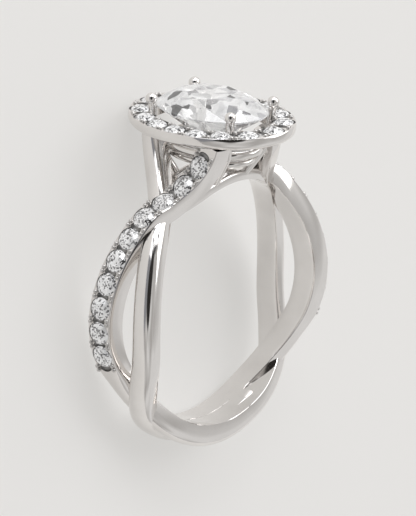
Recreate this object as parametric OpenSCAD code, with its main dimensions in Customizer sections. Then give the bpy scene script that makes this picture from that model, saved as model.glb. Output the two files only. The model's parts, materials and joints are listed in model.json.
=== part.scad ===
/* [Finger hole and shank] */
// Inside diameter of the finger hole
finger_d = 17; // [16:0.25:19.5]
// Radial thickness of each strand at the sides of the finger
strand_t = 1.4; // [1.2:0.05:1.8]
// Width of each strand across its outer face
strand_w = 1.8; // [1.5:0.05:2.1]
// Distance of a strand's middle from the ring's middle plane, at the sides
weave_reach = 1.65; // [1.4:0.05:2]
// How far the strand that passes outside stands out at a crossing
cross_lift = 0.4; // [0.2:0.05:0.6]

/* [Head] */
// Height of the halo's flat underside above the top of the finger hole
halo_rise = 3.55; // [3.2:0.05:4.2]
// Thickness of the halo plate
halo_t = 0.85; // [0.6:0.05:1.2]
// Half of the halo's length along the finger
halo_a = 6.05; // [5.8:0.05:6.6]
// Half of the halo's width across the finger
halo_b = 4.95; // [4.7:0.05:5.5]
// Width of the halo's flat ring of metal
halo_w = 1.75; // [1.6:0.05:1.9]
// Radius of the round edge under the halo's rim
rim_round = 0.45; // [0.2:0.05:0.6]
// Radius of the four prongs
prong_r = 0.3; // [0.28:0.02:0.46]
// Radius of the ball at each prong's tip
prong_ball_r = 0.42; // [0.36:0.02:0.5]
// Height of the ball's middle above the halo plate's top
prong_rise = 1.05; // [0.9:0.05:1.4]
// Distance of a prong's middle from the centre stone's middle, along the finger
prong_a = 3.35; // [3.2:0.05:3.5]
// Distance of a prong's middle from the centre stone's middle, across the finger
prong_b = 2.35; // [2.25:0.05:2.5]
// Radius of the gallery wire under the halo
rail_r = 0.38; // [0.25:0.05:0.5]
// Height of the gallery wire's middle below the halo's underside
rail_drop = 1.05; // [0.8:0.05:1.2]

/* [Stones] */
// Half length of the oval centre stone
centre_a = 4.2; // [4:0.05:4.3]
// Half width of the oval centre stone
centre_b = 3.1; // [2.9:0.05:3.2]
// Depth of the centre stone below its girdle
centre_deep = 2.55; // [2.2:0.05:2.8]
// Height of the centre stone's crown above its girdle
centre_crown = 1.05; // [0.8:0.05:1.15]
// Height of the centre stone's girdle above the halo plate's top
centre_rise = 0.55; // [0.4:0.05:0.7]
// Number of halo stones between the two prongs at each end of the oval
halo_end_stones = 3; // [2:1:3]
// Number of halo stones between the two prongs at each long side of the oval
halo_side_stones = 5; // [4:1:5]
// Diameter of a halo stone
halo_stone_d = 1.4; // [1.2:0.02:1.42]
// Distance of the halo stones' middles from the halo's rim
halo_stone_in = 0.86; // [0.8:0.02:0.95]
// Number of stones along each shoulder
row_stones = 10; // [9:1:10]
// Distance from one shoulder stone to the next
row_pitch = 1.72; // [1.66:0.02:1.76]
// Turn from the base at which a shoulder's row of stones begins
row_turn = -73.3; // [-76:0.1:-68]
// Diameter of a shoulder stone
row_stone_d = 1.56; // [1.3:0.02:1.58]
// Gap between each stone and its seat
seat_gap = 0.05; // [0.03:0.01:0.08]
// Radius of the small beads that hold the stones
bead_r = 0.17; // [0.12:0.01:0.19]

/* [Hidden] */
$fn = 48;
finger_r = finger_d / 2;
halo_z = finger_r + halo_rise;
halo_top = halo_z + halo_t;
girdle_z = halo_top + centre_rise;

// One strand's way round the finger, which the other one repeats turned about the head's own axis.
// turn: degrees round the finger from the base, side: share of weave_reach towards the front,
// lift: share of cross_lift outwards, thick: share of strand_t, wide: share of strand_w,
// row: 1 where the outer face is cut flat and square for stones
TURN = 0;
SIDE = 1;
LIFT = 2;
THICK = 3;
WIDE = 4;
ROW = 5;
STRAND = [
    [-180, 0.78, 0.00, 0.58, 0.68, 0.0],
    [-166, 0.72, 0.00, 0.58, 0.70, 0.2],
    [-153, 0.50, 0.30, 0.75, 0.93, 1.0],
    [-140, 0.00, 1.00, 0.96, 1.00, 1.0],
    [-127, -0.45, 0.30, 1.00, 1.04, 1.0],
    [-108, -0.86, 0.00, 1.03, 1.06, 1.0],
    [-90, -1.00, 0.00, 1.05, 1.05, 1.0],
    [-74, -0.84, 0.00, 1.00, 1.00, 0.9],
    [-62, -0.46, 0.00, 1.00, 0.98, 0.1],
    [-48, 0.02, 0.00, 1.00, 0.96, 0.0],
    [-32, 0.42, 0.10, 1.05, 0.95, 0.0],
    [-15, 0.55, 0.00, 1.15, 0.95, 0.0],
    [0, 0.56, 0.00, 1.18, 0.95, 0.0],
    [15, 0.55, 0.00, 1.15, 0.95, 0.0],
    [32, 0.42, 0.40, 1.05, 0.95, 0.0],
    [48, 0.02, 1.00, 1.00, 0.96, 0.0],
    [62, -0.46, 0.50, 0.98, 0.98, 0.0],
    [76, -0.86, 0.00, 0.96, 0.98, 0.0],
    [90, -1.00, 0.00, 0.95, 0.96, 0.0],
    [108, -0.86, 0.00, 0.95, 0.94, 0.0],
    [127, -0.45, 0.00, 0.95, 0.92, 0.0],
    [140, 0.00, 0.00, 0.90, 0.90, 0.0],
    [153, 0.50, 0.00, 0.75, 0.85, 0.0],
    [166, 0.72, 0.00, 0.58, 0.70, 0.0],
    [180, 0.78, 0.00, 0.58, 0.68, 0.0],
];

// Smooth value of one column of a table at a given turn, with level ends
function span(rows, t) = max([for (i = [0:len(rows) - 2]) if (i == 0 || rows[i][TURN] <= t) i]);
function slope(rows, i, c) = (i == 0 || i == len(rows) - 1) ? 0
    : (rows[i + 1][c] - rows[i - 1][c]) / (rows[i + 1][TURN] - rows[i - 1][TURN]);
function flow(rows, t, c) =
    let (i = span(rows, t), d = rows[i + 1][TURN] - rows[i][TURN], u = (t - rows[i][TURN]) / d)
    (2 * u ^ 3 - 3 * u ^ 2 + 1) * rows[i][c] + (u ^ 3 - 2 * u ^ 2 + u) * d * slope(rows, i, c)
    + (3 * u ^ 2 - 2 * u ^ 3) * rows[i + 1][c] + (u ^ 3 - u ^ 2) * d * slope(rows, i + 1, c);

function unit(v) = v / norm(v);
function around(r, turn, side) = [r * sin(turn), -r * cos(turn), side];

// Closed polyhedron through rings of points, joined in a loop or capped at both ends
function ring_faces(n, m, loop) = [for (i = [0:n - (loop ? 1 : 2)], j = [0:m - 1])
    let (a = i * m + j, b = i * m + (j + 1) % m, c = ((i + 1) % n) * m + j, d = ((i + 1) % n) * m + (j + 1) % m)
    each [[a, c, b], [b, c, d]]];
function fan(first, m, back) = [for (j = [1:m - 2]) back ? [first, first + j, first + j + 1]
    : [first, first + j + 1, first + j]];
module sweep(rings, loop = false) {
    n = len(rings);
    m = len(rings[0]);
    faces = concat(ring_faces(n, m, loop), loop ? [] : concat(fan(0, m, true), fan((n - 1) * m, m, false)));
    polyhedron([for (r = rings) each r], faces);
}

// Section of a strand: across in shares of its width, out in shares of its thickness
ROUND_FACE = [[-0.42, 0], [0.42, 0], [0.5, 0.1], [0.5, 0.5], [0.43, 0.76], [0.29, 0.93], [0.1, 1],
    [-0.1, 1], [-0.29, 0.93], [-0.43, 0.76], [-0.5, 0.5], [-0.5, 0.1]];
FLAT_FACE = [[-0.42, 0], [0.42, 0], [0.5, 0.1], [0.5, 0.5], [0.5, 0.9], [0.44, 0.98], [0.2, 1],
    [-0.2, 1], [-0.44, 0.98], [-0.5, 0.9], [-0.5, 0.5], [-0.5, 0.1]];
sunk = 0.3;
function inner_r(t) = finger_r + cross_lift * flow(STRAND, t, LIFT);
function outer_r(t) = inner_r(t) + strand_t * flow(STRAND, t, THICK);
function strand_point(t, r) = around(r, t, weave_reach * flow(STRAND, t, SIDE));
function strand_ring(t) =
    let (row = flow(STRAND, t, ROW), w = strand_w * flow(STRAND, t, WIDE),
        low = inner_r(t) - sunk, high = outer_r(t), step = 0.5,
        ahead = unit(strand_point(min(t + step, 180), high) - strand_point(max(t - step, -180), high)),
        out = [sin(t), -cos(t), 0], across = unit(cross(out, ahead)), mid = strand_point(t, 0))
    [for (k = [0:len(ROUND_FACE) - 1])
        let (q = ROUND_FACE[k] * (1 - row) + FLAT_FACE[k] * row)
        mid + out * (low + (high - low) * q[1]) + across * w * q[0]];
turns = 60;
module strand() {
    sweep([for (i = [0:turns - 1]) strand_ring(-180 + 360 * i / turns)], true);
}

// Curve through four guide points, and its direction
function bend(p, u) = (1 - u) ^ 3 * p[0] + 3 * (1 - u) ^ 2 * u * p[1] + 3 * (1 - u) * u ^ 2 * p[2] + u ^ 3 * p[3];
function bend_way(p, u) = unit((1 - u) ^ 2 * (p[1] - p[0]) + 2 * (1 - u) * u * (p[2] - p[1])
    + u ^ 2 * (p[3] - p[2]));

// A frame is the middle of the outer face, the way outwards, the way across and the way along
function frame(mid, out, along) =
    let (o = unit(out - along * (out * along)))
    [mid, o, cross(o, along), along];
function strand_frame(t) =
    let (high = outer_r(t), step = 0.5)
    frame(strand_point(t, high), [sin(t), -cos(t), 0],
        unit(strand_point(t + step, high) - strand_point(t - step, high)));

// The turns at which the shoulders and posts leave the strands, how far they first run on along them,
// where they end in the halo plate as seen from the front prongs, how they come up to there,
// and which way their outer faces then look
shoulder_turn = -146;
shoulder_lead = 1.7;
shoulder_foot = [-prong_b, halo_z, prong_a] + [-1.55, 0.1, -0.7];
shoulder_climb = [0.15, 1.6, 0.3];
shoulder_face = [-1, 0.3, 0];
post_turn = 143;
post_lead = 1.3;
post_foot = [prong_b, halo_z, prong_a] + [0.85, 0.1, -0.3];
post_climb = [-0.25, 1.7, 0.2];
post_face = [1, 0.2, 0];
shoulder_start = strand_frame(shoulder_turn);
post_start = strand_frame(post_turn);
shoulder_guides = [shoulder_start[0], shoulder_start[0] - shoulder_lead * shoulder_start[3],
    shoulder_foot - shoulder_climb, shoulder_foot];
post_guides = [post_start[0], post_start[0] + post_lead * post_start[3], post_foot - post_climb, post_foot];
function shoulder_frame(u) =
    let (e = shoulder_start[1] * (1 - u) + shoulder_face * u)
    frame(bend(shoulder_guides, u), e, -bend_way(shoulder_guides, u));
function post_frame(u) =
    let (e = post_start[1] * (1 - u) + post_face * u)
    frame(bend(post_guides, u), e, bend_way(post_guides, u));

module arm(frames, section, w, t) {
    sweep([for (i = [0:len(frames) - 1])
        let (f = frames[i], u = i / (len(frames) - 1))
        [for (q = section) f[0] + f[1] * (q[1] - 1) * (t[0] * (1 - u) + t[1] * u)
            + f[2] * q[0] * (w[0] * (1 - u) + w[1] * u)]]);
}
arm_steps = 12;
module shoulder() {
    arm([for (i = [arm_steps:-1:0]) shoulder_frame(i / arm_steps)], FLAT_FACE, [strand_w * 0.97, strand_w],
        [strand_t * 0.9, strand_t]);
}
module post() {
    arm([for (i = [0:arm_steps]) post_frame(i / arm_steps)], ROUND_FACE, [strand_w * 0.85, strand_w * 0.9],
        [strand_t * 0.7, strand_t * 1.1]);
}

// A point on an oval at a height, and the halo plate's edge as distances in from its rim and up from its underside
function oval(a, b, t, z) = [b * sin(t), z, a * cos(t)];
rim_steps = 48;
bevel = 0.1;
HALO_EDGE = [[0, rim_round], [rim_round * 0.3, rim_round * 0.3], [rim_round, 0], [halo_w, 0],
    [halo_w, halo_t - bevel], [halo_w - bevel, halo_t], [bevel, halo_t], [0, halo_t - bevel]];
module halo_plate() {
    sweep([for (i = [0:rim_steps - 1]) [for (q = HALO_EDGE)
        oval(halo_a - q[0], halo_b - q[0], 360 * i / rim_steps, halo_z + q[1])]], true);
}
rail_z = halo_z - rail_drop;
rail_steps = 40;
module rail() {
    sweep([for (i = [0:rail_steps - 1]) [for (j = [0:5])
        let (o = rail_r * cos(60 * j), h = rail_r * sin(60 * j))
        oval(rail_a + o, rail_b + o, 360 * i / rail_steps, rail_z - h)]], true);
}

// A prong: ball, leg through the halo plate to the rail, and foot down to the bars over the finger.
// Its knee and toe stand in from its ball: shares of prong_b across the finger, of prong_a or weave_reach along it.
rail_a = prong_a + prong_r / 2;
rail_b = prong_b + prong_r / 3;
knee_in = [0.94, 0.9];
toe_in = [0.7, 0.95];
toe_rise = 0.2;
knee_swell = 1.15;
module rod(from, to, r) {
    d = to - from;
    translate(from)
        rotate([0, acos(d[2] / norm(d)), atan2(d[1], d[0])])
            cylinder(r = r, h = norm(d));
}
module prong(side, end) {
    tip = [side * prong_b, halo_top + prong_rise, end * prong_a];
    knee = [side * prong_b * knee_in[0], rail_z, end * prong_a * knee_in[1]];
    toe = [side * prong_b * toe_in[0], finger_r + toe_rise * strand_t, end * weave_reach * toe_in[1]];
    translate(tip)
        sphere(r = prong_ball_r);
    rod(knee, tip, prong_r);
    translate(knee)
        sphere(r = knee_swell * prong_r);
    rod(toe, knee, prong_r);
}

// The solid base that fills the space between the strands under the finger
base_turn = 24;
module base() {
    rotate([0, 0, -90 - base_turn])
        rotate_extrude(angle = 2 * base_turn)
            translate([finger_r - sunk, -0.5 * strand_w])
                square([strand_t * 1.1 + sunk, strand_w]);
}

// Small stones: depth and crown as shares of their diameter, how deep their girdles' middles sit in the metal,
// half the height of a girdle's edge, and the open height over each seat
stone_deep = 0.42;
stone_crown = 0.17;
stone_sink = 0.06;
band = 0.06;
head_room = 0.6;

// The way of a shoulder's row of stones over the strand's outer face, with the distance at each frame
row_frames = concat([for (t = [row_turn:-4:shoulder_turn]) strand_frame(t)],
    [for (i = [1:arm_steps]) shoulder_frame(i / arm_steps)]);
row_way = [for (i = 0, s = 0; i < len(row_frames);
    s = s + (i + 1 < len(row_frames) ? norm(row_frames[i + 1][0] - row_frames[i][0]) : 0), i = i + 1) s];
function row_frame(s) =
    let (i = max([for (k = [0:len(row_way) - 2]) if (k == 0 || row_way[k] <= s) k]),
        u = (s - row_way[i]) / (row_way[i + 1] - row_way[i]), a = row_frames[i], b = row_frames[i + 1])
    frame(a[0] * (1 - u) + b[0] * u, a[1] * (1 - u) + b[1] * u, unit(a[3] * (1 - u) + b[3] * u));

// Puts a child on a frame: its Z outwards, its Y along
module on_frame(f, sink = 0) {
    m = f[0] - sink * f[1];
    multmatrix([[f[2][0], f[3][0], f[1][0], m[0]], [f[2][1], f[3][1], f[1][1], m[1]],
        [f[2][2], f[3][2], f[1][2], m[2]]])
        children();
}
module on_row(k) {
    on_frame(row_frame((k - 0.5) * row_pitch), stone_sink)
        children();
}

// Places round the halo, in shares of the way along the stones' oval. A prong stands in the gap between two groups
// of stones, and each group's stones are at even distances.
halo_mid_a = halo_a - halo_stone_in;
halo_mid_b = halo_b - halo_stone_in;
fine = 2;
halo_way = [for (i = 0, s = 0; i <= 360 / fine; s = s + norm(oval(halo_mid_a, halo_mid_b, fine * (i + 1), 0)
    - oval(halo_mid_a, halo_mid_b, fine * i, 0)), i = i + 1) s];
function halo_turn(share) =
    let (s = share * halo_way[360 / fine], i = max([for (k = [0:360 / fine - 1]) if (halo_way[k] <= s) k]))
    fine * (i + (s - halo_way[i]) / (halo_way[i + 1] - halo_way[i]));
prong_turn = atan2(prong_b / halo_mid_b, prong_a / halo_mid_a);
prong_share = lookup(prong_turn, [for (i = [0:len(halo_way) - 1]) [fine * i, halo_way[i]]]) / halo_way[360 / fine];
HALO_GROUPS = [[-prong_share, prong_share, halo_end_stones], [prong_share, 0.5 - prong_share, halo_side_stones],
    [0.5 - prong_share, 0.5 + prong_share, halo_end_stones], [0.5 + prong_share, 1 - prong_share, halo_side_stones]];
function halo_places(inset) = [for (g = HALO_GROUPS, i = [0:g[2] - 1])
    halo_turn((1 + g[0] + (g[1] - g[0]) * (i + inset) / g[2]) % 1)];
stone_turns = halo_places(0.5);
gap_turns = halo_places(0);
module on_halo(k) {
    translate(oval(halo_mid_a, halo_mid_b, stone_turns[k - 1], halo_top - stone_sink))
        rotate([-90, 0, 0])
            children();
}

// Room for one small stone and its setting, open above it
module seat(d) {
    r = d / 2 + seat_gap;
    rotate_extrude()
        polygon([[0, -d * stone_deep - seat_gap], [r, -band - seat_gap], [r, head_room], [0, head_room]]);
}
module seats() {
    for (k = [1:len(stone_turns)])
        on_halo(k)
            seat(halo_stone_d);
    for (turned = [0, 180], k = [1:row_stones])
        rotate([0, turned, 0])
            on_row(k)
                seat(row_stone_d);
}

// Small beads in pairs between neighbouring stones. Their distance from the row's middle is a share of a stone's
// diameter, and their middles stand a little above the metal.
bead_side = 0.4;
bead_up = 0.03;
module bead_pair(d) {
    for (side = [-1, 1])
        translate([side * bead_side * d, 0, bead_up])
            sphere(r = bead_r, $fn = 16);
}
module beads() {
    for (turned = [0, 180], k = [0:row_stones])
        rotate([0, turned, 0])
            on_frame(row_frame(k * row_pitch))
                bead_pair(row_stone_d);
    for (t = gap_turns)
        let (step = 1)
        on_frame(frame(oval(halo_mid_a, halo_mid_b, t, halo_top), [0, 1, 0],
            unit(oval(halo_mid_a, halo_mid_b, t + step, 0) - oval(halo_mid_a, halo_mid_b, t - step, 0))))
            bead_pair(halo_stone_d);
}

module mounting_metal() {
    for (turned = [0, 180])
        rotate([0, turned, 0]) {
            strand();
            shoulder();
            post();
        }
    base();
    halo_plate();
    rail();
    beads();
    for (side = [-1, 1], end = [-1, 1])
        prong(side, end);
}

// The ring lies on the back edge of its base and the back end of its halo.
// lean is the angle that brings both to the floor.
base_edge = [for (q = ROUND_FACE) [-inner_r(0) + sunk - (outer_r(0) - inner_r(0) + sunk) * q[1],
    weave_reach * flow(STRAND, 0, SIDE) + strand_w * flow(STRAND, 0, WIDE) * q[0]]];
halo_end = [for (q = HALO_EDGE) [halo_z + q[1], halo_a - q[0]]];
function lowest(edge, t) = min([for (p = edge) p[0] * sin(t) - p[1] * cos(t)]);
function settle(a, b, n) =
    let (m = (a + b) / 2)
    n == 0 ? m : lowest(base_edge, m) > lowest(halo_end, m) ? settle(m, b, n - 1) : settle(a, m, n - 1);
lean = settle(0, 30, 40);
base_y = min([for (p = base_edge) p[0] * cos(lean) - p[1] * sin(lean)]);
tip_y = (halo_top + prong_rise) * cos(lean) + prong_a * sin(lean) + prong_ball_r;
module lying() {
    translate([0, -(base_y + tip_y) / 2, -lowest(halo_end, lean)])
        rotate([lean, 0, 0])
            children();
}

// The finger hole, with its seam turned to one of the gaps beside a crossing, where no metal meets it
seam_turn = 27;
module finger_hole() {
    rotate([0, 0, seam_turn])
        cylinder(r = finger_r, h = 3 * halo_a, center = true);
}

module mounting() {
    color("silver")
        lying()
            difference() {
                mounting_metal();
                finger_hole();
                seats();
            }
}

// A brilliant: table, star, kite and girdle facets above, long facets below, oval when a and b differ.
// The middle of its girdle is at the origin and its table faces +Z.
table_share = 0.58;
star_share = 0.8;
star_rise = 0.62;
module brilliant(a, b, crown, deep) {
    points = concat(
        [for (k = [0:7]) [b * table_share * sin(45 * k), a * table_share * cos(45 * k), crown]],
        [for (k = [0:7]) [b * star_share * sin(45 * k + 22.5), a * star_share * cos(45 * k + 22.5),
            band + star_rise * (crown - band)]],
        [for (k = [0:15]) [b * sin(22.5 * k), a * cos(22.5 * k), band]],
        [for (k = [0:15]) [b * sin(22.5 * k), a * cos(22.5 * k), -band]],
        [[0, 0, -deep]]);
    faces = concat([[for (k = [0:7]) k]],
        [for (k = [0:7]) let (n = (k + 1) % 8, g = 16 + 2 * k, h = 16 + (2 * k + 2) % 16)
            each [[k, 8 + k, n], [8 + k, g + 1, h], [8 + k, g, g + 1], [8 + k, k, g], [n, 8 + k, h]]],
        [for (k = [0:15]) let (n = (k + 1) % 16) each [[16 + k, 32 + k, 16 + n], [16 + n, 32 + k, 32 + n],
            [32 + k, 48, 32 + n]]]);
    polyhedron(points, faces);
}

module centre_stone() {
    color("white")
        lying()
            translate([0, girdle_z, 0])
                rotate([-90, 0, 0])
                    brilliant(centre_a, centre_b, centre_crown, centre_deep);
}
module small_stone(d) {
    brilliant(d / 2, d / 2, d * stone_crown, d * stone_deep);
}
module halo_stone(k) {
    color("white")
        lying()
            on_halo(k)
                small_stone(halo_stone_d);
}
module left_stone(k) {
    color("white")
        lying()
            on_row(k)
                small_stone(row_stone_d);
}
module right_stone(k) {
    color("white")
        lying()
            rotate([0, 180, 0])
                on_row(k)
                    small_stone(row_stone_d);
}

mounting();
centre_stone();
for (k = [1:len(stone_turns)]) halo_stone(k);
for (k = [1:row_stones]) left_stone(k);
for (k = [1:row_stones]) right_stone(k);
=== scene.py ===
import json
import math

import bmesh
import bpy
from mathutils import Matrix, Vector


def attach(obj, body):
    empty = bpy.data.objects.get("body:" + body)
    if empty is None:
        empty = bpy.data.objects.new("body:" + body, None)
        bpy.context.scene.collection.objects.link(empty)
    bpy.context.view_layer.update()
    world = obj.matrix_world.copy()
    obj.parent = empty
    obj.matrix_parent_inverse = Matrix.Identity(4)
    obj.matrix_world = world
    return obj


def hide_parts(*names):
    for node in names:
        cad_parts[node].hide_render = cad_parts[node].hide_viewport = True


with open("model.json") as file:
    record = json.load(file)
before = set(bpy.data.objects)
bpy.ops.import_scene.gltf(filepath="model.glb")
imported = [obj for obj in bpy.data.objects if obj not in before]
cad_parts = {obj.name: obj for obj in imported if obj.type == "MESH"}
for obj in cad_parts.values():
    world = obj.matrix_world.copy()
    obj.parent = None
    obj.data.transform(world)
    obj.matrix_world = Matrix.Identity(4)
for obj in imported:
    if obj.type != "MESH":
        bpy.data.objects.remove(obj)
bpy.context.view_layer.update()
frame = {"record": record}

# The ring is modelled upright in millimetres: X across the finger, Y towards the head, Z along the finger.
# The finger hole's mount in the frame says where it lies and how far it leans.
hole = frame["record"]["mounts"][0]
hole_axis = Vector(hole["axis"]).normalized()
LYING = Matrix.Translation(hole["pos_m"]) @ Matrix(
    (Vector((1, 0, 0)), hole_axis.cross(Vector((1, 0, 0))), hole_axis)).transposed().to_4x4()
MM = 0.001

# Driving sizes of the metal, in millimetres. The knee's shares are shares of the prong's place.
FINGER_R = hole["dims"]["r_mm"]
STRAND_T = 1.4
STRAND_W = 1.8
WEAVE_REACH = 1.65
CROSS_LIFT = 0.4
HALO_Z = 12.05
HALO_T = 0.85
HALO_A = 6.05
HALO_B = 4.95
HALO_W = 1.75
RIM_ROUND = 0.45
PRONG_R = 0.29
PRONG_BALL_R = 0.41
PRONG_RISE = 1.05
PRONG_A = 3.35
PRONG_B = 2.35
KNEE_SHARE_A = 0.9
KNEE_SHARE_B = 0.94
RAIL_R = 0.36
RAIL_DROP = 1.05
LOW_RAIL_R = 0.24
LOW_RAIL_DROP = 0.75
POST_W = STRAND_W * 0.9
POST_T = STRAND_T * 1.1
BAR_W = STRAND_W * 0.8
BAR_T = STRAND_T * 0.62
WEB_W = STRAND_W * 0.96
HALO_TOP = HALO_Z + HALO_T

# Numbers of the stones, and their sizes and places in millimetres. The row's turn is in degrees, and the
# small stones' shares are shares of their width.
CENTRE_A = 4.2
CENTRE_B = 3.1
CENTRE_DEEP = 2.55
CENTRE_CROWN = 1.05
CENTRE_RISE = 0.55
HALO_END_STONES = 3
HALO_SIDE_STONES = 5
HALO_STONE_D = 1.4
HALO_STONE_IN = 0.86
ROW_STONES = 10
ROW_PITCH = 1.72
ROW_TURN = -73.3
ROW_STONE_D = 1.56
STONE_SINK = 0.06
GIRDLE = 0.05
SMALL_GIRDLE = 0.025
SMALL_CROWN_SHARE = 0.17
SMALL_DEEP_SHARE = 0.42

# Rooms cut into the metal, in millimetres: how much wider than a stone and how deep, and for the small rooms
# between two stones half their size across, along and deep
SEAT_ROOM = 0.035
ROW_SEAT_DEEP = 0.62
ROW_GAP_ROOM = (0.5, 0.3, 0.3)
HALO_SEAT_WIDER = 0.06
HALO_SEAT_DEEP = 0.6
HALO_GAP_ROOM = (0.46, 0.3, 0.3)

# One strand's way round the finger: degrees from the base, then shares of the reach to the side, of the lift,
# of the thickness and of the width, and 1 where the outer face is flat for stones
STRAND = (
    (-180, 0.78, 0.00, 0.58, 0.68, 0.0),
    (-166, 0.72, 0.00, 0.58, 0.70, 0.2),
    (-153, 0.50, 0.30, 0.75, 0.93, 1.0),
    (-140, 0.00, 1.00, 0.96, 1.00, 1.0),
    (-127, -0.45, 0.30, 1.00, 1.04, 1.0),
    (-108, -0.86, 0.00, 1.03, 1.06, 1.0),
    (-90, -1.00, 0.00, 1.05, 1.05, 1.0),
    (-74, -0.84, 0.00, 1.00, 1.00, 0.9),
    (-62, -0.46, 0.00, 1.00, 0.98, 0.1),
    (-48, 0.02, 0.00, 1.00, 0.96, 0.0),
    (-32, 0.42, 0.10, 1.05, 0.95, 0.0),
    (-15, 0.54, 0.00, 1.15, 0.92, 0.0),
    (0, 0.55, 0.00, 1.18, 0.92, 0.0),
    (15, 0.54, 0.00, 1.15, 0.92, 0.0),
    (32, 0.42, 0.40, 1.05, 0.95, 0.0),
    (48, 0.02, 1.00, 1.00, 0.96, 0.0),
    (62, -0.46, 0.50, 0.98, 0.98, 0.0),
    (76, -0.86, 0.00, 0.96, 0.98, 0.0),
    (90, -1.00, 0.00, 0.95, 0.96, 0.0),
    (108, -0.86, 0.00, 0.95, 0.94, 0.0),
    (127, -0.45, 0.00, 0.95, 0.92, 0.0),
    (140, 0.00, 0.00, 0.90, 0.90, 0.0),
    (153, 0.50, 0.00, 0.75, 0.85, 0.0),
    (166, 0.72, 0.00, 0.58, 0.70, 0.0),
    (180, 0.78, 0.00, 0.58, 0.68, 0.0),
)
SIDE, LIFT, THICK, WIDE, ROW = range(1, 6)
SHOULDER_TURN = -146
POST_TURN = 143
BAR_TURNS = (134, 360 + SHOULDER_TURN + 8)
WEB_TURN = 27
ARM_STEPS = 24
ROW_ARM_STEPS = 12
ROW_STEP_TURN = 4
HALF_TURN = Matrix.Rotation(math.pi, 4, "Y")


def flow(turn, column):
    """Smooth value of one column of the strand's table at a turn."""
    last = len(STRAND) - 1
    i = max(k for k in range(last) if k == 0 or STRAND[k][0] <= turn)

    def slope(k):
        if k in (0, last):
            return 0.0
        return (STRAND[k + 1][column] - STRAND[k - 1][column]) / (STRAND[k + 1][0] - STRAND[k - 1][0])

    d = STRAND[i + 1][0] - STRAND[i][0]
    u = (turn - STRAND[i][0]) / d
    return ((2 * u**3 - 3 * u**2 + 1) * STRAND[i][column] + (u**3 - 2 * u**2 + u) * d * slope(i)
            + (3 * u**2 - 2 * u**3) * STRAND[i + 1][column] + (u**3 - u**2) * d * slope(i + 1))


def around(radius, turn, side):
    t = math.radians(turn)
    return Vector((radius * math.sin(t), -radius * math.cos(t), side))


def inner_r(turn):
    return FINGER_R + CROSS_LIFT * flow(turn, LIFT)


def outer_r(turn):
    return inner_r(turn) + STRAND_T * flow(turn, THICK)


def strand_point(turn, radius):
    return around(radius, turn, WEAVE_REACH * flow(turn, SIDE))


# A station is the middle of the outer face, the ways outwards, across and along, the width, the thickness
# and how flat the outer face is.
def station(mid, out, along, width, thick, flat):
    along = along.normalized()
    out = (out - along * out.dot(along)).normalized()
    return mid, out, out.cross(along), along, width, thick, flat


def strand_station(turn):
    step = 0.5
    high = outer_r(turn)
    ahead = strand_point(turn + step, high) - strand_point(turn - step, high)
    width = STRAND_W * flow(turn, WIDE)
    thick = STRAND_T * flow(turn, THICK)
    return station(strand_point(turn, high), around(1, turn, 0), ahead, width, thick, flow(turn, ROW))


def arm_point(p, u):
    """A place on an arm's curve, from its four guides."""
    return (1 - u)**3 * p[0] + 3 * (1 - u)**2 * u * p[1] + 3 * (1 - u) * u**2 * p[2] + u**3 * p[3]


def arm_way(p, u):
    """The way an arm's curve goes at a place."""
    return ((1 - u)**2 * (p[1] - p[0]) + 2 * (1 - u) * u * (p[2] - p[1]) + u**2 * (p[3] - p[2])).normalized()


def arm_stations(start, guides, way, out_end, width_end, thick_end, flat_end, steps):
    """Stations of an arm that leaves a strand's station and rises to the halo along a curve."""
    found = []
    for i in range(steps + 1):
        u = i / steps
        out = start[1] * (1 - u) + Vector(out_end) * u
        width = start[4] * (1 - u) + width_end * u
        thick = start[5] * (1 - u) + thick_end * u
        flat = start[6] * (1 - u) + flat_end * u
        found.append(station(arm_point(guides, u), out, way * arm_way(guides, u), width, thick, flat))
    return found


shoulder_start = strand_station(SHOULDER_TURN)
shoulder_foot = Vector((-PRONG_B - 1.55, HALO_Z + 0.1, PRONG_A - 0.7))
shoulder_guides = (shoulder_start[0], shoulder_start[0] - 1.7 * shoulder_start[3],
                   shoulder_foot - Vector((0.15, 1.6, 0.3)), shoulder_foot)
post_start = strand_station(POST_TURN)
post_foot = Vector((PRONG_B + 0.85, HALO_Z + 0.1, PRONG_A - 0.3))
post_guides = (post_start[0], post_start[0] + 1.3 * post_start[3],
               post_foot + Vector((0.25, -1.7, -0.2)), post_foot)


def shoulder_arm(steps):
    return arm_stations(shoulder_start, shoulder_guides, -1, (-1, 0.3, 0), STRAND_W, STRAND_T, 1.0, steps)


shoulder_stations = shoulder_arm(ARM_STEPS)
post_stations = arm_stations(post_start, post_guides, 1, (1, 0.2, 0), POST_W, POST_T, 0.0, ARM_STEPS)


def section(st):
    """Points of a bar's section at a station: flat inner face, straight sides, domed or flat outer face.

    Each is worked out as shares of the width and of the thickness, from the inner face outwards."""
    mid, out, across, _, width, thick, flat = st
    dome_points = 9
    dome = [(0.478, 0.015), (0.489, 0.1), (0.497, 0.25), (0.5, 0.4), (0.5, 0.47)]
    for i in range(dome_points + 1):
        a = math.pi / 2 * i / dome_points
        round_q = (0.5 * math.cos(a)**0.9, 0.47 + 0.53 * math.sin(a)**0.95)
        square_q = (0.485 - 0.485 * (i / dome_points)**1.6, 0.9 + 0.1 * min(1, 3.5 * i / dome_points)**0.6)
        dome.append(tuple(r * (1 - flat) + s * flat for r, s in zip(round_q, square_q)))
    half = [(0.25, 0.0), (0.46, 0.0)] + dome
    shape = half + [(-x, y) for x, y in reversed(half[:-1])]
    return [mid + out * (y - 1) * thick + across * x * width for x, y in shape]


def only(thing):
    bpy.ops.object.select_all(action="DESELECT")
    thing.select_set(True)
    bpy.context.view_layer.objects.active = thing


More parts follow.
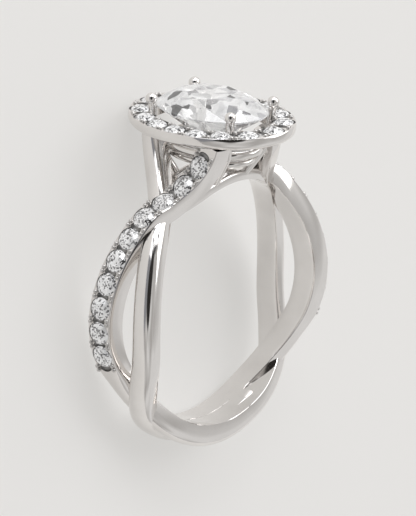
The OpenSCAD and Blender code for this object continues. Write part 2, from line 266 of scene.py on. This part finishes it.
def pulled_bar(name, rings, closed=False):
    """A bar pulled from station to station: the first ring is extruded, and each new ring takes its place."""
    bpy.ops.object.select_all(action="DESELECT")
    bpy.ops.mesh.primitive_circle_add(vertices=len(rings[0]))
    bar = bpy.context.active_object
    bar.name = name
    bpy.ops.object.mode_set(mode="EDIT")
    mesh = bmesh.from_edit_mesh(bar.data)
    mesh.verts.ensure_lookup_table()
    for vert, point in zip(mesh.verts, rings[0]):
        vert.co = point
    place_of = {k: k for k in range(len(rings[0]))}
    for ring in rings[1:]:
        bpy.ops.mesh.extrude_region()
        mesh = bmesh.from_edit_mesh(bar.data)
        mesh.verts.index_update()
        fresh = {}
        for vert in mesh.verts:
            if vert.select:
                k = next(place_of[e.other_vert(vert).index] for e in vert.link_edges
                         if e.other_vert(vert).index in place_of)
                vert.co = ring[k]
                fresh[vert.index] = k
        place_of = fresh
    if closed:
        bpy.ops.mesh.select_non_manifold()
        bpy.ops.mesh.bridge_edge_loops()
    else:
        bpy.ops.mesh.select_all(action="SELECT")
        bpy.ops.mesh.fill_holes(sides=0)
    bpy.ops.mesh.select_all(action="SELECT")
    bpy.ops.mesh.normals_make_consistent(inside=False)
    bpy.ops.object.mode_set(mode="OBJECT")
    return bar


def copy_of(piece, name, turn):
    """A copy with its own mesh, turned."""
    twin = piece.copy()
    twin.data = piece.data.copy()
    twin.name = name
    bpy.context.collection.objects.link(twin)
    twin.matrix_world = turn @ piece.matrix_world
    settle(twin)
    return twin


def settle(piece):
    """Puts a piece's place into its mesh."""
    only(piece)
    bpy.ops.object.transform_apply(location=True, rotation=True, scale=True)


def joined(pieces, name):
    bpy.ops.object.select_all(action="DESELECT")
    for piece in pieces:
        piece.select_set(True)
    bpy.context.view_layer.objects.active = pieces[0]
    bpy.ops.object.join()
    whole = bpy.context.active_object
    whole.name = name
    return whole


def ball(middle, radius, segments, rings):
    bpy.ops.object.select_all(action="DESELECT")
    bpy.ops.mesh.primitive_uv_sphere_add(segments=segments, ring_count=rings, radius=radius, location=middle)
    made = bpy.context.active_object
    settle(made)
    return made


def cut_away(piece, cutter):
    """Takes the cutter's room out of a piece. The new faces keep the cutter's finish, the seats' painted
    shade.
    """
    only(piece)
    cut = piece.modifiers.new("seats", "BOOLEAN")
    cut.operation = "DIFFERENCE"
    cut.solver = "MANIFOLD"
    cut.material_mode = "TRANSFER"
    cut.object = cutter
    bpy.ops.object.modifier_apply(modifier=cut.name)
    bpy.data.objects.remove(cutter)


def cut_seats(piece, seats, across, along, deep):
    """Cuts a room at each seat, every other one first, so that no two cutters meet."""
    for some in (seats[0::2], seats[1::2]):
        cut_away(piece, joined([seat_cutter(seat, across, along, deep) for seat in some], "seat_rooms"))


def polish(piece, angle=34):
    only(piece)
    bpy.ops.object.shade_smooth_by_angle(angle=math.radians(angle))


def coat(piece, material):
    piece.data.materials.clear()
    piece.data.materials.append(material)
    return piece


def lay_down(piece, slot, *nodes):
    """Turns an upright piece in millimetres to where the ring lies, and hands it to the frame."""
    piece.matrix_world = LYING @ Matrix.Scale(MM, 4)
    settle(piece)
    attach(piece, "root")
    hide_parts(*nodes)


# The way of a row of stones: up the strand from the lowest stone, and on up the shoulder
row_steps = int((ROW_TURN - SHOULDER_TURN) // ROW_STEP_TURN) + 1
row_stations = [strand_station(ROW_TURN - ROW_STEP_TURN * i) for i in range(row_steps)]
row_stations += shoulder_arm(ROW_ARM_STEPS)[1:]


def row_seat(distance):
    """The middle, out, across and along of a seat on the row."""
    gone = 0
    for a, b in zip(row_stations, row_stations[1:]):
        length = (b[0] - a[0]).length
        if gone + length >= distance or b is row_stations[-1]:
            u = (distance - gone) / length
            along = a[3].lerp(b[3], u).normalized()
            out = a[1].lerp(b[1], u)
            out = (out - along * out.dot(along)).normalized()
            return a[0].lerp(b[0], u), out, out.cross(along), along
        gone += length


def oval(a, b, turn, height):
    t = math.radians(turn)
    return Vector((b * math.sin(t), height, a * math.cos(t)))


HALO_MID_A = HALO_A - HALO_STONE_IN
HALO_MID_B = HALO_B - HALO_STONE_IN
halo_chords = [(oval(HALO_MID_A, HALO_MID_B, 2 * i + 2, 0) - oval(HALO_MID_A, HALO_MID_B, 2 * i, 0)).length
               for i in range(180)]


def halo_turn(share):
    gone = share * sum(halo_chords)
    for i, chord in enumerate(halo_chords):
        if gone <= chord:
            return 2 * (i + gone / chord)
        gone -= chord
    return 360.0


def halo_share(turn):
    """Share of the way round the stones' oval at a turn."""
    whole = int(turn // 2)
    return (sum(halo_chords[:whole]) + (turn / 2 - whole) * halo_chords[whole]) / sum(halo_chords)


prong_share = halo_share(math.degrees(math.atan2(PRONG_B / HALO_MID_B, PRONG_A / HALO_MID_A)))
HALO_GROUPS = (
    (-prong_share, prong_share, HALO_END_STONES),
    (prong_share, 0.5 - prong_share, HALO_SIDE_STONES),
    (0.5 - prong_share, 0.5 + prong_share, HALO_END_STONES),
    (0.5 + prong_share, 1 - prong_share, HALO_SIDE_STONES),
)


def halo_places(inset):
    """Shares round the halo: each group's stones stand at even distances between two prongs."""
    return [(1 + first + (last - first) * (i + inset) / count) % 1
            for first, last, count in HALO_GROUPS for i in range(count)]


def halo_seat(share):
    """The middle, out, across and along of a seat on the halo's top."""
    t = halo_turn(share)
    along = (oval(HALO_MID_A, HALO_MID_B, t + 1, 0) - oval(HALO_MID_A, HALO_MID_B, t - 1, 0)).normalized()
    out = Vector((0, 1, 0))
    return oval(HALO_MID_A, HALO_MID_B, t, HALO_TOP), out, out.cross(along), along


def beside(seat, across, along, up):
    """A place at given distances from the middle of a seat."""
    return seat[0] + seat[2] * across + seat[3] * along + seat[1] * up


def on_seat(seat, sink=0.0):
    """Matrix that puts local Y along and Z outwards on a seat, and X so that nothing is mirrored."""
    middle, out, _, along = seat
    turned = Matrix((along.cross(out), along, out)).transposed().to_4x4()
    return Matrix.Translation(middle - out * sink) @ turned


def seat_cutter(seat, across, along, deep):
    """An egg-shaped room, centred on the metal's outer face."""
    bpy.ops.object.select_all(action="DESELECT")
    bpy.ops.mesh.primitive_uv_sphere_add(segments=24, ring_count=16, radius=1)
    egg = bpy.context.active_object
    egg.matrix_world = on_seat(seat) @ Matrix.Diagonal((across, along, deep, 1))
    settle(egg)
    # The room's faces get the dark metal: painted shade in the seats.
    return coat(egg, seat_metal_painted_shade)


# Metal
def strand_rings():
    """One strand with its shoulder at the one end and its post at the other."""
    steps = 132
    turns = [SHOULDER_TURN + (POST_TURN - SHOULDER_TURN) * i / steps for i in range(1, steps)]
    stations = list(reversed(shoulder_stations)) + [strand_station(t) for t in turns] + post_stations
    return [section(st) for st in stations]


def bar_rings():
    """The thin bar that closes the finger hole between a post and the next shoulder.

    Its ends are thinner and sink into the strands, and it keeps clear of the joint of the strand's table."""
    rings = []
    first, last = BAR_TURNS
    steps = 34
    sink_over = 14
    joint_turn = 179.4
    for i in range(steps + 1):
        turn = first + (last - first) * i / steps
        wrapped = turn - 360 if turn > 180 else turn
        inside = max(0.0, 1 - min(turn - first, last - turn) / sink_over)
        near = max(-joint_turn, min(joint_turn, wrapped))
        mid, out, across, along, width, thick, _ = strand_station(near)
        low = mid - out * thick
        thick = min(thick, BAR_T) - 0.12 * inside
        width = min(width, BAR_W) - 0.25 * inside
        rings.append(section((low + out * (thick + 0.01 * inside), out, across, along, width, thick, 0.0)))
    return rings


def base_rings():
    """The web that joins the strands under the finger."""
    rings = []
    steps = 24
    flat = 0.85
    for i in range(steps + 1):
        turn = WEB_TURN * (2 * i / steps - 1)
        thick = STRAND_T * (1.12 - 0.2 * abs(turn / WEB_TURN)**3)
        mid = around(FINGER_R + 0.005 + thick, turn, 0)
        rings.append(section(station(mid, around(1, turn, 0), around(1, turn + 90, 0), WEB_W, thick, flat)))
    return rings


def halo_rings():
    """The halo's plate: a rounded rim, a level top and a plain inner wall."""
    lip = 0.07
    trim = 0.01
    profile = [(HALO_W - lip, 0.0), (HALO_W * 0.6, 0.0), (RIM_ROUND + 0.15, 0.0)]
    profile += [(RIM_ROUND * (1 - math.sin(math.radians(a))), RIM_ROUND * (1 - math.cos(math.radians(a))))
                for a in range(0, 91, 15)]
    profile += [(0.0, HALO_T - 0.16), (0.02, HALO_T - 0.06), (0.07, HALO_T)]
    profile += [(HALO_W * 0.35, HALO_T), (HALO_W * 0.7, HALO_T), (HALO_W - lip, HALO_T)]
    profile += [(HALO_W, HALO_T - lip), (HALO_W, HALO_T * 0.5), (HALO_W, lip)]
    steps = 120
    return [[oval(HALO_A - trim - x, HALO_B - trim - x, 360 * i / steps, HALO_Z + y) for x, y in profile]
            for i in range(steps)]


def wire_rings(a, b, height, radius):
    steps = 72
    sides = 12
    circle = [(radius * math.cos(2 * math.pi * j / sides), radius * math.sin(2 * math.pi * j / sides))
              for j in range(sides)]
    return [[oval(a + x, b + x, 360 * i / steps, height - y) for x, y in circle] for i in range(steps)]


def rod(start, end, r_start, r_end):
    steps = 6
    sides = 20
    way = (end - start).normalized()
    side = way.orthogonal().normalized()
    other = way.cross(side)
    circle = [side * math.cos(2 * math.pi * j / sides) + other * math.sin(2 * math.pi * j / sides)
              for j in range(sides)]
    rings = []
    for i in range(steps + 1):
        u = i / steps
        r = r_start * (1 - u) + r_end * u
        rings.append([start.lerp(end, u) + spoke * r for spoke in circle])
    return pulled_bar("rod", rings)


def one_prong(side, end):
    """A prong with its ball, its leg through the halo and its foot on the bars."""
    tip = Vector((side * PRONG_B, HALO_TOP + PRONG_RISE, end * PRONG_A))
    knee = Vector((side * PRONG_B * KNEE_SHARE_B, HALO_Z - RAIL_DROP, end * PRONG_A * KNEE_SHARE_A))
    toe = Vector((side * PRONG_B * 0.7, FINGER_R + 0.2 * STRAND_T, end * WEAVE_REACH * 0.95))
    parts = [ball(tip, PRONG_BALL_R, 28, 18), rod(knee, tip, PRONG_R, PRONG_R * 0.92),
             ball(knee, PRONG_R, 20, 12), rod(toe, knee, PRONG_R, PRONG_R)]
    return joined(parts, "prong")


def bead_pairs(name, gaps, side, apart, radius, height):
    """Two beads at each side of every gap."""
    beads = [ball(beside(gap, way * side, step * apart, height), radius, 12, 8)
             for gap in gaps for way in (-1, 1) for step in (-1, 1)]
    return joined(beads, name)


# Cut stones
def brilliant(name, half_a, half_b, crown, deep, girdle):
    """An oval brilliant cut with its girdle round the origin: rings of points, wrapped by flat facets."""
    table, star, lower = 0.57, 0.79, 0.24
    eighth = math.radians(22.5)
    star_x = star * math.cos(eighth)
    star_h = girdle + (crown - girdle) * (1 - star_x) / (1 - table)
    lower_h = -girdle - (deep - girdle) * (1 - lower * math.cos(eighth))
    bpy.ops.object.select_all(action="DESELECT")
    bpy.ops.mesh.primitive_circle_add(vertices=8, radius=table, location=(0, 0, crown))
    stone = bpy.context.active_object
    stone.name = name
    settle(stone)
    bpy.ops.object.mode_set(mode="EDIT")
    rings = (
        (8, star, star_h, eighth),
        (16, 1.0, girdle, 0),
        (16, 1.0, -girdle, 0),
        (8, lower, lower_h, eighth),
        (8, 0.02, -deep, 0),
    )
    for count, radius, height, turn in rings:
        bpy.ops.mesh.primitive_circle_add(vertices=count, radius=radius, location=(0, 0, height),
                                          rotation=(0, 0, turn))
    bpy.ops.mesh.select_all(action="SELECT")
    bpy.ops.mesh.convex_hull(join_triangles=True, face_threshold=math.radians(0.5),
                             shape_threshold=math.radians(180))
    bpy.ops.mesh.select_all(action="SELECT")
    bpy.ops.mesh.normals_make_consistent(inside=False)
    bpy.ops.object.mode_set(mode="OBJECT")
    stone.scale = (half_b, half_a, 1)
    settle(stone)
    only(stone)
    bpy.ops.object.shade_flat()
    return stone


def small_brilliant(name, width):
    crown = width * SMALL_CROWN_SHARE
    deep = width * SMALL_DEEP_SHARE
    return brilliant(name, width / 2, width / 2, crown, deep, SMALL_GIRDLE)


# Finishes
def shader_parts(name):
    material = bpy.data.materials.new(name)
    material.use_nodes = True
    return material, material.node_tree, material.node_tree.nodes["Principled BSDF"]


def own_place(tree):
    """The socket with a piece's own coordinates."""
    return tree.nodes.new("ShaderNodeTexCoord").outputs["Object"]


def noise(tree, where, scale, detail):
    texture = tree.nodes.new("ShaderNodeTexNoise")
    texture.inputs["Scale"].default_value = scale
    texture.inputs["Detail"].default_value = detail
    tree.links.new(where, texture.inputs["Vector"])
    return texture.outputs["Fac"]


def spread(tree, value, low, high):
    """Spreads a value between 0 and 1 over a range."""
    mapped = tree.nodes.new("ShaderNodeMapRange")
    mapped.inputs["To Min"].default_value = low
    mapped.inputs["To Max"].default_value = high
    tree.links.new(value, mapped.inputs["Value"])
    return mapped.outputs["Result"]


def two_tones(tree, value, dark, light, dark_at=0.0, light_at=1.0):
    """A ramp from a dark to a light tone."""
    ramp = tree.nodes.new("ShaderNodeValToRGB")
    ends = ramp.color_ramp.elements
    ends[0].position = dark_at
    ends[0].color = (*dark, 1)
    ends[1].position = light_at
    ends[1].color = (*light, 1)
    tree.links.new(value, ramp.inputs["Fac"])
    return ramp


def bumped(tree, height, strength, distance, under=None):
    bump = tree.nodes.new("ShaderNodeBump")
    bump.inputs["Strength"].default_value = strength
    bump.inputs["Distance"].default_value = distance
    tree.links.new(height, bump.inputs["Height"])
    if under is not None:
        tree.links.new(under, bump.inputs["Normal"])
    return bump.outputs["Normal"]


def white_metal_finish():
    """Polished white metal: a mirror with faint waves, hair-fine marks and slightly duller patches."""
    material, tree, surface = shader_parts("polished_white_metal")
    surface.inputs["Metallic"].default_value = 1.0
    where = own_place(tree)
    patches = noise(tree, where, 420, 3)
    tree.links.new(spread(tree, patches, 0.05, 0.13), surface.inputs["Roughness"])
    tone = two_tones(tree, patches, (0.73, 0.705, 0.685), (0.87, 0.85, 0.83))
    tree.links.new(tone.outputs["Color"], surface.inputs["Base Color"])
    stretch = tree.nodes.new("ShaderNodeMapping")
    stretch.inputs["Scale"].default_value = (1, 1, 6)
    tree.links.new(where, stretch.inputs["Vector"])
    marks = bumped(tree, noise(tree, stretch.outputs["Vector"], 2600, 4), 0.02, 0.00002)
    waves = bumped(tree, noise(tree, where, 260, 1), 0.05, 0.0001, marks)
    tree.links.new(waves, surface.inputs["Normal"])
    return material


def painted_shade_metal_finish(name, dark, light):
    """Metal that was cut or pushed over the stones: duller than the polished faces, and darker by painted
    shade, speckled at random.
    """
    material, tree, surface = shader_parts(name)
    surface.inputs["Metallic"].default_value = 1.0
    shade_speckle = noise(tree, own_place(tree), 3000, 3)
    tree.links.new(spread(tree, shade_speckle, 0.25, 0.45), surface.inputs["Roughness"])
    tone = two_tones(tree, shade_speckle, (dark, dark * 0.97, dark * 0.94), (light, light * 0.98, light * 0.96))
    tree.links.new(tone.outputs["Color"], surface.inputs["Base Color"])
    return material


def painted_sparkle_diamond_finish(name, cells, clear, steps, glow):
    """Clear stone that bends light strongly, with the dark and bright patches of a brilliant's reflections
    painted into its colour.

    The steps are pairs: the share of the patches where a tone begins, and the tone. The last one glows, a
    painted flash."""
    material, tree, surface = shader_parts(name)
    surface.inputs["Transmission Weight"].default_value = clear
    surface.inputs["IOR"].default_value = 2.417
    surface.inputs["Roughness"].default_value = 0.0
    surface.inputs["Emission Strength"].default_value = glow
    # Painted reflections: patches of dark, grey and white stand for a brilliant's facets.
    patches = tree.nodes.new("ShaderNodeTexVoronoi")
    patches.inputs["Scale"].default_value = cells
    patches.inputs["Randomness"].default_value = 1.0
    tree.links.new(own_place(tree), patches.inputs["Vector"])
    level = tree.nodes.new("ShaderNodeSeparateColor")
    tree.links.new(patches.outputs["Color"], level.inputs["Color"])
    tone = tree.nodes.new("ShaderNodeValToRGB")
    tone.color_ramp.interpolation = "CONSTANT"
    tone.color_ramp.elements.remove(tone.color_ramp.elements[1])
    for begin, value in steps:
        step = tone.color_ramp.elements[0] if begin == 0 else tone.color_ramp.elements.new(begin)
        step.color = (value, value, min(1, value * 1.03), 1)
    tree.links.new(level.outputs["Red"], tone.inputs["Fac"])
    tree.links.new(tone.outputs["Color"], surface.inputs["Base Color"])
    # Painted flash: the white patches also glow.
    painted_flash = tree.nodes.new("ShaderNodeMapRange")
    painted_flash.inputs["From Min"].default_value = steps[-1][0] - 0.01
    painted_flash.inputs["From Max"].default_value = steps[-1][0] + 0.01
    tree.links.new(level.outputs["Red"], painted_flash.inputs["Value"])
    tree.links.new(painted_flash.outputs["Result"], surface.inputs["Emission Color"])
    return material


def pale_floor_finish():
    material, tree, surface = shader_parts("pale_floor")
    surface.inputs["Roughness"].default_value = 0.55
    tone = two_tones(tree, noise(tree, own_place(tree), 9, 3), (0.29, 0.286, 0.283), (0.33, 0.326, 0.323))
    tree.links.new(tone.outputs["Color"], surface.inputs["Base Color"])
    surface.inputs["Emission Color"].default_value = (1, 0.985, 0.955, 1)
    surface.inputs["Emission Strength"].default_value = 0.475
    return material


white_metal = white_metal_finish()
# The seats and the small rooms between the stones: a dark copy of the metal, painted shade in the hollows.
seat_metal_painted_shade = painted_shade_metal_finish("painted_shade_in_seats", 0.10, 0.55)
# The beads: a darker copy of the metal, painted shade between the stones.
bead_metal_painted_shade = painted_shade_metal_finish("bead_metal_painted_shade", 0.35, 0.85)
# Tones of the stones' painted reflections: where each tone begins among the patches, and the tone. The last
# one also glows.
CENTRE_PAINTED_REFLECTIONS = ((0, 0.03), (0.08, 0.4), (0.18, 0.8), (0.32, 1.0))
SMALL_PAINTED_REFLECTIONS = ((0, 0.04), (0.2, 0.45), (0.38, 1.0))
centre_stone_painted_sparkle = painted_sparkle_diamond_finish("centre_stone_with_painted_sparkle", cells=1300, clear=0.7, steps=CENTRE_PAINTED_REFLECTIONS, glow=0.09)
small_stone_painted_sparkle = painted_sparkle_diamond_finish("small_stone_painted_sparkle", cells=9200, clear=0.4, steps=SMALL_PAINTED_REFLECTIONS, glow=0.14)

# Camera, seen from the upright ring: the finger hole's middle falls a little below the picture's middle
CAMERA_AZIMUTH = math.radians(37.5)
CAMERA_HEIGHT = math.radians(18.9)
CAMERA_ROLL = math.radians(0.9)
CAMERA_FAR = 600
PHOTO_W = 416
PHOTO_H = 516
PIXELS_PER_MM = 14.8
HOLE_PIXEL = (209.3, 297.0)
SENSOR = 36
FOCUS_PX = PIXELS_PER_MM * CAMERA_FAR

look = Vector((math.cos(CAMERA_AZIMUTH) * math.cos(CAMERA_HEIGHT), -math.sin(CAMERA_HEIGHT),
               -math.sin(CAMERA_AZIMUTH) * math.cos(CAMERA_HEIGHT)))
right = Vector((math.sin(CAMERA_AZIMUTH), 0, math.cos(CAMERA_AZIMUTH)))
above = right.cross(look)
right_rolled = right * math.cos(CAMERA_ROLL) + above * math.sin(CAMERA_ROLL)
above_rolled = above * math.cos(CAMERA_ROLL) - right * math.sin(CAMERA_ROLL)
camera_place = look * -CAMERA_FAR
aim = (look * FOCUS_PX - right_rolled * (HOLE_PIXEL[0] - PHOTO_W / 2)
       + above_rolled * (HOLE_PIXEL[1] - PHOTO_H / 2)).normalized()
aim_right = aim.cross(above_rolled).normalized()
aim_above = aim_right.cross(aim)
camera_turn = LYING.to_3x3() @ Matrix((aim_right, aim_above, -aim)).transposed()
camera_data = bpy.data.cameras.new("photo_camera")
camera = bpy.data.objects.new("photo_camera", camera_data)
bpy.context.scene.collection.objects.link(camera)
camera.matrix_world = Matrix.Translation(LYING @ (camera_place * MM)) @ camera_turn.to_4x4()
camera_data.sensor_fit = "VERTICAL"
camera_data.sensor_height = SENSOR
camera_data.lens = FOCUS_PX / PHOTO_H * SENSOR
camera_data.clip_start = 0.05
camera_data.clip_end = 20
bpy.context.scene.camera = camera


# Light: a pale room with soft boxes, and a dark gap where the camera stands
def way_to(azimuth, height):
    """Direction in the frame from the upright ring's azimuth (front to right) and height, in degrees."""
    a, h = math.radians(azimuth), math.radians(height)
    return LYING.to_3x3() @ Vector((math.sin(a) * math.cos(h), math.sin(h), math.cos(a) * math.cos(h)))


def soft_box(name, azimuth, height, distance, size, radiance, tone=(1, 1, 1)):
    """A soft light of even radiance that faces the ring."""
    light = bpy.data.lights.new(name, "AREA")
    light.shape = "RECTANGLE"
    light.size, light.size_y = size
    light.energy = radiance * math.pi * size[0] * size[1]
    light.color = tone
    lamp = bpy.data.objects.new(name, light)
    bpy.context.scene.collection.objects.link(lamp)
    way = way_to(azimuth, height)
    lamp.location = LYING.translation + way * distance
    lamp.rotation_euler = way.to_track_quat("Z", "Y").to_euler()


soft_box("right_box", azimuth=42, height=30, distance=0.40, size=(0.28, 0.36), radiance=1.9)
soft_box("top_box", azimuth=-20, height=74, distance=0.35, size=(0.16, 0.14), radiance=4.0)
soft_box("left_box", azimuth=-88, height=56, distance=0.40, size=(0.10, 0.14), radiance=1.1,
         tone=(0.96, 0.98, 1.0))

HEADWARDS = LYING.to_3x3() @ Vector((0, 1, 0))
world = bpy.data.worlds.new("pale_room")
bpy.context.scene.world = world
world.use_nodes = True
room = world.node_tree
sky = room.nodes["Background"]
seen = room.nodes.new("ShaderNodeTexCoord").outputs["Generated"]


def share_along(direction, scale):
    """Node value: how far a seen direction goes along one way, divided by a scale."""
    dot = room.nodes.new("ShaderNodeVectorMath")
    dot.operation = "DOT_PRODUCT"
    dot.inputs[1].default_value = direction / scale
    room.links.new(seen, dot.inputs[0])
    return dot.outputs["Value"]


def math_node(operation, first, second):
    node = room.nodes.new("ShaderNodeMath")
    node.operation = operation
    for socket, value in zip(node.inputs, (first, second)):
        if isinstance(value, (int, float)):
            socket.default_value = value
        else:
            room.links.new(value, socket)
    return node.outputs["Value"]


def dimmed(shown, azimuth, height, half_wide, half_high, tone):
    """The room's colours with an oval dim patch in one direction."""
    way = way_to(azimuth, height)
    side = HEADWARDS.cross(way).normalized()
    side_share = share_along(side, half_wide)
    up_share = share_along(way.cross(side), half_high)
    round_share = math_node("ADD", math_node("MULTIPLY", side_share, side_share),
                            math_node("MULTIPLY", up_share, up_share))
    behind = math_node("LESS_THAN", share_along(way, 1.0), 0.0)
    edge = room.nodes.new("ShaderNodeMapRange")
    edge.interpolation_type = "SMOOTHSTEP"
    edge.inputs["From Min"].default_value = 0.75
    edge.inputs["From Max"].default_value = 1.25
    room.links.new(math_node("ADD", round_share, math_node("MULTIPLY", behind, 5.0)), edge.inputs["Value"])
    mixed = room.nodes.new("ShaderNodeMixRGB")
    mixed.inputs["Color1"].default_value = (*tone, 1)
    room.links.new(edge.outputs["Result"], mixed.inputs["Fac"])
    room.links.new(shown, mixed.inputs["Color2"])
    return mixed.outputs["Color"]


# Pale walls, and above them bright and dark cards for the stones and the metal to catch
wall_tones = two_tones(room, noise(room, seen, 1.6, 1.0), (0.46, 0.45, 0.44), (0.74, 0.735, 0.73), 0.35, 0.6)
card_tones = two_tones(room, noise(room, seen, 5.5, 0.0), (0.06, 0.06, 0.065), (2.3, 2.3, 2.35), 0.44, 0.50)
card_tones.color_ramp.interpolation = "EASE"
high = room.nodes.new("ShaderNodeMapRange")
high.inputs["From Min"].default_value = math.sin(math.radians(42))
high.inputs["From Max"].default_value = math.sin(math.radians(52))
room.links.new(share_along(HEADWARDS, 1.0), high.inputs["Value"])
walls = room.nodes.new("ShaderNodeMixRGB")
room.links.new(high.outputs["Result"], walls.inputs["Fac"])
room.links.new(wall_tones.outputs["Color"], walls.inputs["Color1"])
room.links.new(card_tones.outputs["Color"], walls.inputs["Color2"])

with_grey_side = dimmed(walls.outputs["Color"], azimuth=-92, height=22, half_wide=0.44, half_high=0.60,
                        tone=(0.27, 0.275, 0.295))
with_camera_gap = dimmed(with_grey_side, azimuth=-49, height=24, half_wide=0.35, half_high=0.56,
                         tone=(0.03, 0.028, 0.027))
room.links.new(with_camera_gap, sky.inputs["Color"])
sky.inputs["Strength"].default_value = 1.0

bpy.ops.object.select_all(action="DESELECT")
bpy.ops.mesh.primitive_plane_add(size=3)
floor = bpy.context.active_object
floor.name = "floor"
floor.data.materials.append(pale_floor_finish())

bpy.context.scene.view_settings.view_transform = "Standard"

# The ring's metal
row_seats = [row_seat((k - 0.5) * ROW_PITCH) for k in range(1, ROW_STONES + 1)]
row_gaps = [row_seat(k * ROW_PITCH) for k in range(ROW_STONES + 1)]
halo_seats = [halo_seat(share) for share in halo_places(0.5)]
halo_gaps = [halo_seat(share) for share in halo_places(0.0)]
row_seat_r = ROW_STONE_D / 2 + SEAT_ROOM
halo_seat_r = HALO_STONE_D / 2 + SEAT_ROOM

strand = coat(pulled_bar("strand_one", strand_rings()), white_metal)
cut_seats(strand, row_seats, row_seat_r, row_seat_r, ROW_SEAT_DEEP)
cut_seats(strand, row_gaps, *ROW_GAP_ROOM)
polish(strand)
strand_two = copy_of(strand, "strand_two", HALF_TURN)
bar = pulled_bar("bridge_bar_one", bar_rings())
polish(bar)
bar_two = copy_of(bar, "bridge_bar_two", HALF_TURN)
web = pulled_bar("base_web", base_rings())
polish(web)

halo = coat(pulled_bar("halo_plate", halo_rings(), closed=True), white_metal)
cut_seats(halo, halo_seats, halo_seat_r + HALO_SEAT_WIDER, halo_seat_r, HALO_SEAT_DEEP)
cut_seats(halo, halo_gaps, *HALO_GAP_ROOM)
polish(halo)

rail_h = HALO_Z - RAIL_DROP
rail = wire_rings(PRONG_A + 0.15, PRONG_B + 0.1, rail_h, RAIL_R)
low_rail = wire_rings(PRONG_A - 0.25, PRONG_B - 0.25, rail_h - LOW_RAIL_DROP, LOW_RAIL_R)
wires = joined([pulled_bar("wire", rings, closed=True) for rings in (rail, low_rail)], "gallery_wires")
polish(wires)

prongs = joined([one_prong(side, end) for side in (-1, 1) for end in (-1, 1)], "prongs")
polish(prongs, 40)

row_beads = bead_pairs("shoulder_beads_one", row_gaps, side=0.68, apart=0.15, radius=0.15, height=0.02)
polish(row_beads)
row_beads_two = copy_of(row_beads, "shoulder_beads_two", HALF_TURN)
halo_beads = bead_pairs("halo_beads", halo_gaps, side=0.58, apart=0.15, radius=0.14, height=0.03)
polish(halo_beads)

plain_metal = (bar, bar_two, web, wires, prongs)
all_beads = (row_beads, row_beads_two, halo_beads)
for metal in plain_metal:
    coat(metal, white_metal)
# The beads take the darker metal with painted shade.
for metal in all_beads:
    coat(metal, bead_metal_painted_shade)
for metal in (strand, strand_two, halo, *plain_metal, *all_beads):
    lay_down(metal, "white_metal", "mounting")

# The ring's stones
TURN_STEP = 37
centre = brilliant("cut_centre_stone", CENTRE_A, CENTRE_B, CENTRE_CROWN, CENTRE_DEEP, GIRDLE)
centre_place = Matrix.Translation((0, HALO_TOP + CENTRE_RISE, 0))
centre.matrix_world = centre_place @ Matrix.Rotation(-math.pi / 2, 4, "X")
settle(centre)
small_halo = small_brilliant("halo_pattern", HALO_STONE_D)
small_row = small_brilliant("row_pattern", ROW_STONE_D)


def set_stone(pattern, name, seat, k, turned=Matrix.Identity(4)):
    own_turn = Matrix.Rotation(math.radians(TURN_STEP * k), 4, "Z")
    return copy_of(pattern, name, turned @ on_seat(seat, STONE_SINK) @ own_turn)


coat(centre, centre_stone_painted_sparkle)
coat(small_halo, small_stone_painted_sparkle)
coat(small_row, small_stone_painted_sparkle)
lay_down(centre, "centre_stone", "centre_stone")
for k, seat in enumerate(halo_seats, 1):
    lay_down(set_stone(small_halo, f"cut_halo_stone_{k}", seat, k), "small_stones", f"halo_stone_{k}")
for k, seat in enumerate(row_seats, 1):
    lay_down(set_stone(small_row, f"cut_left_stone_{k}", seat, k), "small_stones", f"left_stone_{k}")
    far_stone = set_stone(small_row, f"cut_right_stone_{k}", seat, k, HALF_TURN)
    lay_down(far_stone, "small_stones", f"right_stone_{k}")
bpy.data.objects.remove(small_halo)
bpy.data.objects.remove(small_row)

bpy.context.view_layer.update()
